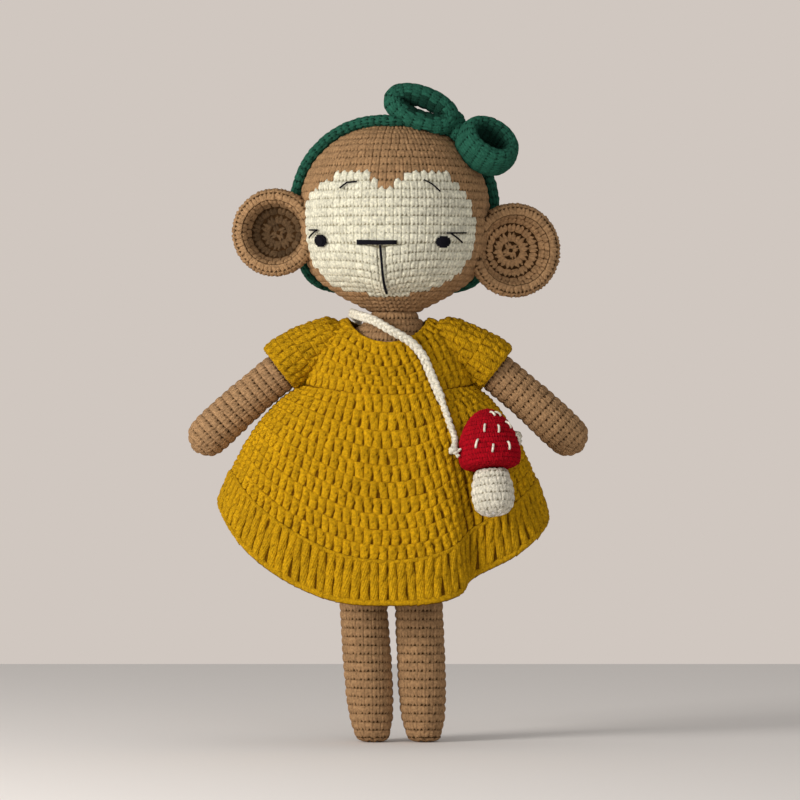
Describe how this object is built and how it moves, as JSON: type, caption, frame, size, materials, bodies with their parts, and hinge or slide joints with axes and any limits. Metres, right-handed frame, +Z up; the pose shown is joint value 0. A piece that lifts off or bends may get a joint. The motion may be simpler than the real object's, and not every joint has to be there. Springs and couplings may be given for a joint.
{
  "type": "crocheted monkey doll",
  "caption": "Crocheted standing monkey doll with round cupped ears, a cream face, a headband with a bow, a flared dress with cap sleeves, and a mushroom bag on a cross-body strap.",
  "frame": {"origin": "middle of the doll's bounding box, on the surface that its soles stand on", "axes": "+Z up, -Y the way the doll faces, +X the doll's own left"},
  "size_m": [0.184, 0.0952, 0.3051],
  "materials": {
    "yarn_tan": "matte",
    "yarn_cream": "matte",
    "thread_black": "matte",
    "yarn_green": "matte",
    "yarn_mustard": "matte",
    "yarn_red": "matte",
    "yarn_white": "matte",
    "fibre_filling": "matte"
  },
  "bodies": {
    "torso": {"torso_skin": "yarn_tan", "torso_stuffing": "fibre_filling", "dress_yoke": "yarn_mustard", "dress_skirt": "yarn_mustard", "dress_hem": "yarn_mustard", "strap": "yarn_white"},
    "head": {"head_skin": "yarn_tan", "face_panel": "yarn_cream", "head_stuffing": "fibre_filling", "ear_right": "yarn_tan", "ear_left": "yarn_tan", "eye_right": "thread_black", "eye_left": "thread_black", "nose_bar": "thread_black", "mouth_line": "thread_black", "lashes_right": "thread_black", "lashes_left": "thread_black", "brow_right": "thread_black", "brow_left": "thread_black", "headband": "yarn_green", "bow_knot": "yarn_green", "bow_loop_right": "yarn_green", "bow_loop_left": "yarn_green"},
    "arm_right": {"arm_skin_right": "yarn_tan", "arm_stuffing_right": "fibre_filling", "sleeve_right": "yarn_mustard"},
    "arm_left": {"arm_skin_left": "yarn_tan", "arm_stuffing_left": "fibre_filling", "sleeve_left": "yarn_mustard"},
    "leg_right": {"leg_skin_right": "yarn_tan", "leg_stuffing_right": "fibre_filling"},
    "leg_left": {"leg_skin_left": "yarn_tan", "leg_stuffing_left": "fibre_filling"},
    "bag": {"bag_cap": "yarn_red", "bag_cap_stuffing": "fibre_filling", "bag_stem": "yarn_white", "bag_stem_stuffing": "fibre_filling", "cap_stitch_1": "yarn_white", "cap_stitch_2": "yarn_white", "cap_stitch_3": "yarn_white", "cap_stitch_4": "yarn_white", "cap_stitch_5": "yarn_white", "cap_stitch_6": "yarn_white", "cap_stitch_7": "yarn_white", "cap_stitch_8": "yarn_white", "cap_stitch_9": "yarn_white", "strap_end_right": "yarn_white", "strap_end_left": "yarn_white", "strap_knot_right": "yarn_white", "strap_knot_left": "yarn_white"}
  },
  "joints": [
    {"name": "head_turn", "type": "hinge", "parent": "torso", "child": "head", "pos_m": [0.003, 0.00448, 0.203], "axis": [0, 0, 1], "range_deg": [-30, 30]},
    {"name": "arm_right_raise", "type": "hinge", "parent": "torso", "child": "arm_right", "pos_m": [-0.0283, 0.00448, 0.1845], "axis": [0, 1, 0], "range_deg": [-2, 35]},
    {"name": "arm_left_raise", "type": "hinge", "parent": "torso", "child": "arm_left", "pos_m": [0.0283, 0.00448, 0.1845], "axis": [0, -1, 0], "range_deg": [-2, 35]},
    {"name": "leg_right_swing", "type": "hinge", "parent": "torso", "child": "leg_right", "pos_m": [-0.0132, 0.00448, 0.09], "axis": [-1, 0, 0], "range_deg": [-25, 25]},
    {"name": "leg_left_swing", "type": "hinge", "parent": "torso", "child": "leg_left", "pos_m": [0.0132, 0.00448, 0.09], "axis": [-1, 0, 0], "range_deg": [-25, 25]},
    {"name": "bag_swing", "type": "hinge", "parent": "torso", "child": "bag", "pos_m": [0.02442, -0.01924, 0.15754], "axis": [-0.7794, -0.5054, 0.3704], "range_deg": [0, 40]}
  ]
}
